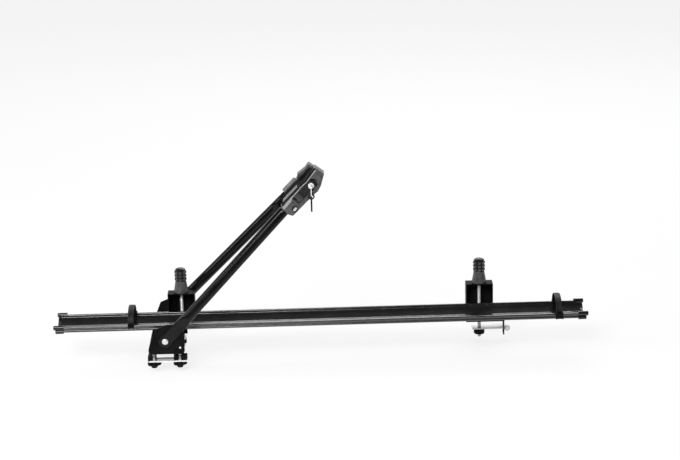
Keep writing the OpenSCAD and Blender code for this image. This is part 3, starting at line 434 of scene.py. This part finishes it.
def ease_between(x, a, b):
    """0 below a, 1 above b, and the smooth cubic 3t^2 - 2t^3 between."""
    t = np.clip((x - a) / (b - a), 0, 1)
    return t * t * (3 - 2 * t)


def leg_y(u):
    """Distance of a leg's axis from the middle: level at the foot, then straight in to the head."""
    run = np.where(u < BEND_U, 0.0, u - BEND_U) / (LEG_LEN - BEND_U)
    return FOOT_Y + (HEAD_Y - FOOT_Y) * run


def leg_tube(name, side, spigot):
    """Superellipse section carried along the leg: half width, half thickness and power go from the
    flat foot to the round tube. The foot's end follows a circle, and the head's end steps in to the
    spigot that the jaw or cap sits on."""
    u = np.concatenate([
        -FOOT_R * np.cos(np.linspace(0.05, math.pi / 2, 14)), np.linspace(0, 54, 20)[1:],
        np.linspace(57, 104, 30), np.linspace(112, LEG_LEN - 1.2, 40),
        [LEG_LEN - 0.5, LEG_LEN - 0.1, LEG_LEN, LEG_LEN, LEG_LEN + spigot - 0.5, LEG_LEN + spigot]])
    press = ease_between(u, PRESS_FROM, PRESS_TO)
    round_end = np.sqrt(np.clip(FOOT_R ** 2 - u ** 2, 0, None))
    width = np.where(u < ROUND_TO, round_end, PLATE_HALF) * (1 - press) + LEG_R * press
    thick = FOOT_HALF * (1 - press) + LEG_R * press
    power = FLAT_POWER * (1 - press) ** 2 + TUBE_POWER * (1 - (1 - press) ** 2)
    inset = SPIGOT_R - LEG_R
    step = np.array([-0.3, -1.0, -1.8, inset, inset, inset - 0.5])
    width[-len(step):] = thick[-len(step):] = LEG_R + step
    a = np.linspace(0, 2 * math.pi, LEG_SIDES, endpoint=False)[None, :]
    across = width[:, None] * np.sign(np.cos(a)) * np.abs(np.cos(a)) ** (2 / power[:, None])
    out = thick[:, None] * np.sign(np.sin(a)) * np.abs(np.sin(a)) ** (2 / power[:, None])
    axis = np.convolve(np.pad(leg_y(u), 2, mode="edge"), np.ones(5) / 5, mode="valid")
    axis = np.where((u > 40) & (u < 90), axis, leg_y(u))
    lean = math.atan2(FOOT_Y - HEAD_Y, LEG_LEN - BEND_U) * ease_between(u, 50, 80)
    along = u[:, None] + out * np.sin(lean)[:, None]
    return skin(name, on_arm(along, side * (axis[:, None] + out * np.cos(lean)[:, None]), across))


fitted(leg_tube("near_leg_tube", -1, NEAR_SPIGOT), "arm", "gloss_black_tube", gloss_black, "near_leg")
fitted(leg_tube("far_leg_tube", 1, FAR_SPIGOT), "arm", "gloss_black_tube", gloss_black, "far_leg")
dress("far_leg_cap", "arm", "black_plastic", moulded_black, 1.2)


def cross_tube(name, u, r):
    """Tube across the arm whose radius swells by a short bell at each end, for the weld bead on
    the leg."""
    half = float(leg_y(np.array(u))) - LEG_R * 0.8
    y = np.linspace(-half, half, 61)
    bead = BEAD * np.exp(-((np.abs(y) - (half - 3.4)) / 1.9) ** 2)
    a = np.linspace(0, 2 * math.pi, 48, endpoint=False)[None, :]
    radius = (r + bead)[:, None] + 0 * a
    return skin(name, on_arm(u + radius * np.cos(a), y[:, None] + 0 * a, radius * np.sin(a)))


yoke_black = surface_finish(
    "yoke_black", (0.004, 0.004, 0.0042), (0.008, 0.008, 0.0083), 30, (0.72, 0.86), 900, 0.00001,
    Specular_IOR_Level=0.05)
fitted(cross_tube("welded_cross_tube", YOKE_U, YOKE_R), "arm", "gloss_black_tube", yoke_black, "head_yoke")


# Head: a moulded black jaw fixed on the near leg and a sliding one on the far side, on a steel guide
# pin and a tie bolt with a round adjuster nut. Each jaw has a ribbed rubber pad, grey on the near side.
PAD_STEP, JAW_EDGE, BITE = LEG_LEN + 68.0, 1.4, 0.4
jaw_black = surface_finish(
    "jaw_black", (0.055, 0.055, 0.056), (0.088, 0.088, 0.089), 50, (0.34, 0.46), 2200, 0.000008)
pad_grey = surface_finish(
    "pad_grey", (0.16, 0.16, 0.16), (0.22, 0.22, 0.22), 55, (0.60, 0.78), 1500, 0.00002)
grip_black_and_painted_shade = surface_finish(
    "grip_black_and_painted_shade", (0.005, 0.005, 0.0052), (0.010, 0.010, 0.0103), 60, (0.66, 0.80), 1500, 0.00001,
    Specular_IOR_Level=0.03)


def moulded_tone_and_painted_shade(finish, start, shade):
    """Two tones along the arm: a second moulded colour on the near pad, and painted shade by the lock on
    the lever. The place along the arm is the dot product of the point with the arm's direction, and
    beyond the start in mm the base colour steps to the shade."""
    nodes, links = finish.node_tree.nodes, finish.node_tree.links
    shader = nodes["Principled BSDF"]
    first = shader.inputs["Base Color"].links[0].from_socket
    place, along = nodes.new("ShaderNodeTexCoord"), nodes.new("ShaderNodeVectorMath")
    beyond, tone = nodes.new("ShaderNodeMath"), nodes.new("ShaderNodeMix")
    along.operation, beyond.operation, tone.data_type = "DOT_PRODUCT", "GREATER_THAN", "RGBA"
    away, pivot = on_arm(1.0, 0, 0) - on_arm(0.0, 0, 0), on_arm(0.0, 0, 0)
    along.inputs[1].default_value = away
    beyond.inputs[1].default_value = (start + float(away @ pivot)) * MM
    tone.inputs["B"].default_value = (*shade, 1)
    links.new(place.outputs["Object"], along.inputs[0])
    links.new(along.outputs["Value"], beyond.inputs[0])
    links.new(beyond.outputs[0], tone.inputs["Factor"])
    links.new(first, tone.inputs["A"])
    links.new(tone.outputs["Result"], shader.inputs["Base Color"])


moulded_tone_and_painted_shade(pad_grey, PAD_STEP, (0.010, 0.010, 0.0105))
dress("near_jaw", "arm", "black_plastic", jaw_black, JAW_EDGE, 3)
dress("far_jaw", "far_jaw", "black_plastic", jaw_black, JAW_EDGE, 3)
dress("near_pad", "arm", "grey_rubber", pad_grey, 0.5)
dress("far_pad", "far_jaw", "black_rubber", grip_black_and_painted_shade, 0.5)
RIB_LINE = [
    (5, 7.4), (30, 8.2), (43, 11.0), (64, 11.3), (77, 13.4), (101, 11.2), (124, 14.2), (141, 15.6)]
RIB_WIDTHS = [8.0, 8.0, 3.2, 2.6, 2.4, 2.4, 2.4, 2.4]
GRIP_LINE = [(69.5, 13.6), (77, 17.8), (101, 15.1), (123, 19.0), (141.5, 20.8)]
GRIP_WIDTHS = [4.6] * len(GRIP_LINE)
STRIP_BEND, STRIP_STEPS, STRIP_END, RIB_H, GRIP_H = 14.0, 9, 4, 1.4, 1.2
JAW_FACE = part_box("near_jaw")[0].y / MM


def face_strip(name, corners, widths, height):
    """Half-round strip along a bent line on the near jaw's outer face: across its width, given at each
    corner, the height follows a half circle, and along it the root of the distance to the nearer end,
    over STRIP_END in mm."""
    line = folded_line(corners, [STRIP_BEND] * (len(corners) - 2), STRIP_STEPS)
    n = line_normals(line)
    run = np.concatenate([[0], np.cumsum(np.linalg.norm(np.diff(line, axis=0), axis=1))])
    tip = np.array([0, 0.6, 1.6, STRIP_END])
    along = np.concatenate([tip, np.linspace(5, run[-1] - 5, 60), run[-1] - tip[::-1]])
    at = np.stack([np.interp(along, run, line[:, k]) for k in (0, 1)], 1)[:, None, :]
    side = np.stack([np.interp(along, run, n[:, k]) for k in (0, 1)], 1)[:, None, :]
    swell = np.sqrt(np.clip(np.minimum(along, run[-1] - along) / STRIP_END, 0.02, 1))[:, None]
    a = np.linspace(0, math.pi, 13)[None, :]
    width = np.interp(at[..., 0], [u for u, v in corners], widths)
    half = np.concatenate([np.cos(a), [[-1, 1]]], 1) * width / 2
    rise = np.concatenate([np.sin(a) * height, [[-BITE, -BITE]]], 1) * swell
    spot = at + side * half[..., None]
    return skin(name, on_arm(LEG_LEN + spot[..., 0], JAW_FACE - rise, spot[..., 1]))


# Painted highlight: the rib on the near jaw's face is coloured light grey for the highlight line along its
# upper side.
rib_painted_highlight = surface_finish(
    "rib_painted_highlight", (0.26, 0.26, 0.26), (0.34, 0.34, 0.34), 60, (0.34, 0.46), 1800, 0.000006)
fitted(face_strip("near_jaw_rib", RIB_LINE, RIB_WIDTHS, RIB_H), "arm", "grey_plastic", rib_painted_highlight)
fitted(face_strip("near_jaw_grip", GRIP_LINE, GRIP_WIDTHS, GRIP_H), "arm", "black_rubber", grip_black_and_painted_shade)
EDGE_LINE = [(7, 14.0), (67, 14.0), (74, 21.0), (101, 17.5), (123, 21.5), (138, 22.9)]
EDGE_FROM, EDGE_TO = JAW_FACE + 2.4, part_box("near_jaw")[1].y / MM - 1.6
EDGE_BEND, EDGE_H, EDGE_ROUND = 3.0, 0.6, 0.4


def painted_shade_band(name, corners):
    """Thin black band along the near jaw's upper edge, painted shade of the gap between the jaw's flange
    and its pad: the bent line moved out by a low profile, which is carried across the edge and goes
    into it by BITE at both sides."""
    line = folded_line(corners, [EDGE_BEND] * (len(corners) - 2), STRIP_STEPS)
    rise = np.array([-BITE, EDGE_H - 0.2, EDGE_H, EDGE_H, EDGE_H - 0.2, -BITE])
    across = np.array([EDGE_FROM, EDGE_FROM, EDGE_FROM + EDGE_ROUND, EDGE_TO - EDGE_ROUND, EDGE_TO, EDGE_TO])
    spot = line[:, None, :] + line_normals(line)[:, None, :] * rise[None, :, None]
    return skin(name, on_arm(LEG_LEN + spot[..., 0], across[None, :], spot[..., 1]))


# Painted shade: a black band along the near jaw's top face and upper edge, for the shade between the jaw's
# flange and its pad.
fitted(painted_shade_band("near_jaw_painted_shade", EDGE_LINE), "arm", "black_rubber", grip_black_and_painted_shade)
PIN_U, PIN_V, WASHER_HOLE, WASHER_R, WASHER_H = 25.0, -16.5, 3.6, 8.2, 1.0


def face_washer(name):
    """Flat ring on the near jaw's outer face round the guide pin: a profile of radius and height turned
    about the face's normal, with the outer edge rounded and the foot inside the face by BITE."""
    r = np.array([WASHER_HOLE, WASHER_HOLE, WASHER_R - 0.8, WASHER_R - 0.2, WASHER_R, WASHER_R])[:, None]
    rise = np.array([-BITE, WASHER_H, WASHER_H, WASHER_H - 0.2, WASHER_H - 0.7, -BITE])[:, None]
    a = np.linspace(0, 2 * math.pi, 48, endpoint=False)[None, :]
    ring = on_arm(LEG_LEN + PIN_U + r * np.cos(a), JAW_FACE - rise + 0 * a, PIN_V + r * np.sin(a))
    return skin(name, np.concatenate([ring, ring[:1]]), capped=False)


fitted(face_washer("guide_pin_washer"), "arm", "black_rubber", grip_black_and_painted_shade)
housing_grey = surface_finish(
    "housing_grey", (0.11, 0.11, 0.112), (0.17, 0.17, 0.172), 60, (0.36, 0.50), 1800, 0.00001)
dress("far_barrel", "far_jaw", "grey_plastic", housing_grey, 0.6)
dress("adjuster_nut", "adjuster", "grey_plastic", housing_grey, 0)
dress("guide_pin", "arm", "zinc", zinc_bright, 0.4)
dress("lever_pin", "arm", "zinc", zinc_bright, 0.3)
dress("tie_bolt", "tie", "zinc", zinc_bright, 0.4)


# Clamp lever: a moulded black cam lever on a steel pin. It lies in the recess of the near jaw when
# closed, and the lock barrel sits in its end.
LEVER_SHADE_FROM, LEVER_EDGE = LEG_LEN + 62.0, 2.0
lever_black = surface_finish(
    "lever_black", (0.045, 0.045, 0.046), (0.072, 0.072, 0.073), 50, (0.24, 0.34), 2200, 0.000005)
# Painted shade: the lever's end by the lock is darkened, for the shade in the recess round the lock.
moulded_tone_and_painted_shade(lever_black, LEVER_SHADE_FROM, (0.020, 0.020, 0.0205))
dress("clamp_lever", "lever", "black_plastic", lever_black, LEVER_EDGE, 4)


# Lock and keys: a bright plated barrel with a key in it. A spring steel ring through the key's bow
# carries the spare key.
lock_chrome = surface_finish(
    "lock_chrome", (0.86, 0.86, 0.86), (0.95, 0.95, 0.95), 120, (0.14, 0.24), 900, 0.000005, metallic=0.3)
key_dark = surface_finish(
    "key_dark", (0.005, 0.005, 0.0055), (0.010, 0.010, 0.011), 160, (0.34, 0.48), 2200, 0.000006,
    Specular_IOR_Level=0.25)
dress("lock_barrel", "lock", "bright_lock", lock_chrome, 0.4)
dress("lock_key", "lock", "bright_lock", lock_chrome, 0.35)
dress("key_ring", "keys", "dark_key", key_dark, 0)
dress("spare_key", "keys", "dark_key", key_dark, 0.35)


# Straps: flat moulded rubber bands over the tray, each between a plain clip on one lip
# and a clip with a hinged buckle on the other.
STRAPS = {"front": -92.0, "rear": 1064.0}
STRAP_W, STRAP_T, STRAP_HALF, STRAP_FOOT, STRAP_RISE = 16.0, 3.0, 51.0, 65.45, 32.0
RIDGES, RIDGE_DEEP, RIDGE_HALF, CLIP_EDGE = 30, 0.5, 5.5, 0.5
strap_rubber = surface_finish(
    "strap_rubber", (0.005, 0.005, 0.005), (0.010, 0.010, 0.010), 70, (0.46, 0.60), 1900, 0.000006,
    Specular_IOR_Level=0.25)


def strap_band(name, x):
    """Rounded band carried along a half ellipse from lip to lip. Its outer face has thirty cross ridges,
    about 4.5 mm apart, cut by a squared cosine of the angle along the arch."""
    a = np.linspace(0, math.pi, 121)[:, None]
    edge = np.linspace(0, 2 * math.pi, 40, endpoint=False)[None, :]
    side = np.sign(np.cos(edge)) * np.abs(np.cos(edge)) ** (2 / 9) * STRAP_W / 2
    lift = np.sign(np.sin(edge)) * np.abs(np.sin(edge)) ** (2 / 4) * STRAP_T / 2
    ridge = RIDGE_DEEP * np.clip(2 * np.cos(a * RIDGES) ** 2 - 0.6, 0, 1)
    lift = lift - ridge * (lift > 0.2) * (np.abs(side) < RIDGE_HALF)
    ny, nz = -STRAP_RISE * np.cos(a), STRAP_HALF * np.sin(a)
    size = np.sqrt(ny ** 2 + nz ** 2)
    y = -STRAP_HALF * np.cos(a) + lift * ny / size
    z = STRAP_FOOT + STRAP_RISE * np.sin(a) + lift * nz / size
    return skin(name, np.stack([x + side + 0 * a, y, z], -1))


for end, x in STRAPS.items():
    fitted(strap_band(end + "_strap_band", x), end + "_strap", "black_rubber", strap_rubber, end + "_strap")
    dress(end + "_strap_slider", end + "_strap", "black_plastic", moulded_black, CLIP_EDGE)
    dress(end + "_strap_anchor", end + "_strap", "black_plastic", moulded_black, CLIP_EDGE)
    dress(end + "_buckle", end + "_buckle", "black_plastic", moulded_black, CLIP_EDGE)


# Pale studio floor under the carrier: white to the camera, with a faint soft shadow. In reflections it
# is white round the carrier and falls off to a dark room further in front, as black goods are lit.
FLOOR_GAP, FLOOR_HALF, GLOW_REACH, GLOW_SHARE = 0.012, 14.0, 1.0, 0.80
FLOOR_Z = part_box("outer_star_nut")[0].z - FLOOR_GAP
FLOOR_GLOW = [(-0.76, 0.04), (-0.62, 1.0), (0.55, 1.0)]


def floor_white():
    """Pale diffuse floor. A camera ray sees it mixed with a white glow, so that the shadow stays faint;
    a glossy ray sees the glow that a smooth curve through FLOOR_GLOW gives for the floor's depth y
    in metres."""
    finish = bpy.data.materials.new("floor_white")
    finish.use_nodes = True
    nodes, links = finish.node_tree.nodes, finish.node_tree.links
    nodes.clear()
    made = {name: nodes.new("ShaderNode" + kind) for name, kind in (
        ("out", "OutputMaterial"), ("seen", "MixShader"), ("mirrored", "MixShader"), ("matt", "BsdfDiffuse"),
        ("glow", "Emission"), ("depth_glow", "Emission"), ("rays", "LightPath"), ("share", "Math"),
        ("place", "TexCoord"), ("axes", "SeparateXYZ"), ("depth", "MapRange"), ("curve", "ValToRGB"))}
    made["matt"].inputs["Color"].default_value = (0.86, 0.86, 0.86, 1)
    made["share"].operation = "MULTIPLY"
    made["share"].inputs[1].default_value = GLOW_SHARE
    for socket, value in (
            ("From Min", -GLOW_REACH), ("From Max", GLOW_REACH), ("To Min", 0.0), ("To Max", 1.0)):
        made["depth"].inputs[socket].default_value = value
    ramp = made["curve"].color_ramp
    ramp.interpolation = "EASE"
    ramp.elements.remove(ramp.elements[1])
    for depth, glow in FLOOR_GLOW:
        stop = ramp.elements.new((depth / GLOW_REACH + 1) / 2)
        stop.color = (glow, glow, glow, 1)
    ramp.elements.remove(ramp.elements[0])
    for a, b in (
            (made["rays"].outputs["Is Camera Ray"], made["share"].inputs[0]),
            (made["share"].outputs[0], made["seen"].inputs["Fac"]),
            (made["matt"].outputs[0], made["seen"].inputs[1]),
            (made["glow"].outputs[0], made["seen"].inputs[2]),
            (made["place"].outputs["Object"], made["axes"].inputs[0]),
            (made["axes"].outputs["Y"], made["depth"].inputs["Value"]),
            (made["depth"].outputs[0], made["curve"].inputs["Fac"]),
            (made["curve"].outputs["Color"], made["depth_glow"].inputs["Color"]),
            (made["rays"].outputs["Is Glossy Ray"], made["mirrored"].inputs["Fac"]),
            (made["seen"].outputs[0], made["mirrored"].inputs[1]),
            (made["depth_glow"].outputs[0], made["mirrored"].inputs[2]),
            (made["mirrored"].outputs[0], made["out"].inputs["Surface"])):
        links.new(a, b)
    return finish


floor_mesh = bpy.data.meshes.new("studio_floor")
floor_mesh.from_pydata(
    [(-FLOOR_HALF, -FLOOR_HALF, FLOOR_Z), (FLOOR_HALF, -FLOOR_HALF, FLOOR_Z),
     (FLOOR_HALF, FLOOR_HALF, FLOOR_Z), (-FLOOR_HALF, FLOOR_HALF, FLOOR_Z)], [], [(0, 1, 2, 3)])
floor_mesh.materials.append(floor_white())
floor = bpy.data.objects.new("studio_floor", floor_mesh)
bpy.context.scene.collection.objects.link(floor)


# Studio light: a pale surround, white to the camera and behind the carrier, and dark towards the front
# in reflections. One broad lamp stands above the near left, a strip at the left and a long one behind.
MIDDLE, LEFT_PART, FILL = (0.42, 0.0, 0.1), (0.2, 0.0, 0.25), 0.5


def studio_world():
    """Surround whose strength is FILL for diffuse light, 1 for the camera, and for glossy rays the
    greater of two smooth steps, one of the direction's y and a low one of its z."""
    world = bpy.data.worlds.new("studio")
    world.use_nodes = True
    nodes, links = world.node_tree.nodes, world.node_tree.links
    sky = nodes["Background"]
    sky.inputs["Color"].default_value = (1, 1, 1, 1)
    made = {name: nodes.new("ShaderNode" + kind) for name, kind in (
        ("rays", "LightPath"), ("place", "TexCoord"), ("axes", "SeparateXYZ"), ("back", "MapRange"),
        ("top", "MapRange"), ("most", "Math"), ("glossy", "Mix"), ("camera", "Mix"))}
    for name, limits in (("back", (0.30, 0.80, 0.04, 1.0)), ("top", (0.45, 0.95, 0.0, 0.03))):
        made[name].interpolation_type = "SMOOTHSTEP"
        for socket, value in zip(("From Min", "From Max", "To Min", "To Max"), limits):
            made[name].inputs[socket].default_value = value
    made["most"].operation = "MAXIMUM"
    made["glossy"].inputs["A"].default_value = FILL
    made["camera"].inputs["B"].default_value = 1.0
    for a, b in (
            (made["place"].outputs["Generated"], made["axes"].inputs[0]),
            (made["axes"].outputs["Y"], made["back"].inputs["Value"]),
            (made["axes"].outputs["Z"], made["top"].inputs["Value"]),
            (made["back"].outputs[0], made["most"].inputs[0]),
            (made["top"].outputs[0], made["most"].inputs[1]),
            (made["rays"].outputs["Is Glossy Ray"], made["glossy"].inputs["Factor"]),
            (made["most"].outputs[0], made["glossy"].inputs["B"]),
            (made["rays"].outputs["Is Camera Ray"], made["camera"].inputs["Factor"]),
            (made["glossy"].outputs["Result"], made["camera"].inputs["A"]),
            (made["camera"].outputs["Result"], sky.inputs["Strength"])):
        links.new(a, b)
    return world


def lamp(name, place, aim, width, height, power):
    """Rectangular lamp at a place, turned to face the aim point, with its sizes in metres and its power
    in watts."""
    light = bpy.data.lights.new(name, "AREA")
    light.shape, light.size, light.size_y, light.energy = "RECTANGLE", width, height, power
    holder = bpy.data.objects.new(name, light)
    bpy.context.scene.collection.objects.link(holder)
    holder.location = place
    holder.rotation_mode = "QUATERNION"
    holder.rotation_quaternion = (Vector(aim) - Vector(place)).to_track_quat("-Z", "Y")


bpy.context.scene.world = studio_world()
lamp("key", (-0.8, -2.9, 2.7), MIDDLE, 2.6, 1.2, 130)
lamp("left_strip", (-2.6, -0.5, 1.5), LEFT_PART, 0.35, 1.6, 26)
lamp("back", (1.2, 3.0, 2.6), MIDDLE, 3.2, 1.2, 60)


# Camera: a long lens, a little above the carrier and square on to its near side.
# Its place is in metres, and its three turns are in degrees.
CAMERA_AT, PITCH, YAW, ROLL, LENS = (0.4004, -5.2776, 1.8867), 16.75, 0.84, -1.35, 108.6
pitch, yaw, roll = (math.radians(x) for x in (PITCH, YAW, ROLL))
ahead = np.array([math.sin(yaw) * math.cos(pitch), math.cos(yaw) * math.cos(pitch), -math.sin(pitch)])
level = np.array([math.cos(yaw), -math.sin(yaw), 0.0])
above = np.cross(level, ahead)
right = math.cos(roll) * level + math.sin(roll) * above
up = -math.sin(roll) * level + math.cos(roll) * above
camera = bpy.data.objects.new("camera", bpy.data.cameras.new("camera"))
camera.data.lens, camera.data.sensor_width, camera.data.sensor_fit = LENS, 36.0, "HORIZONTAL"
camera.data.clip_end = 100
camera.matrix_world = Matrix([[*row] for row in np.stack([right, up, -ahead, CAMERA_AT], 1)] + [[0, 0, 0, 1]])
bpy.context.scene.collection.objects.link(camera)
bpy.context.scene.camera = camera
bpy.context.scene.view_settings.view_transform = "Standard"

bpy.context.view_layer.update()
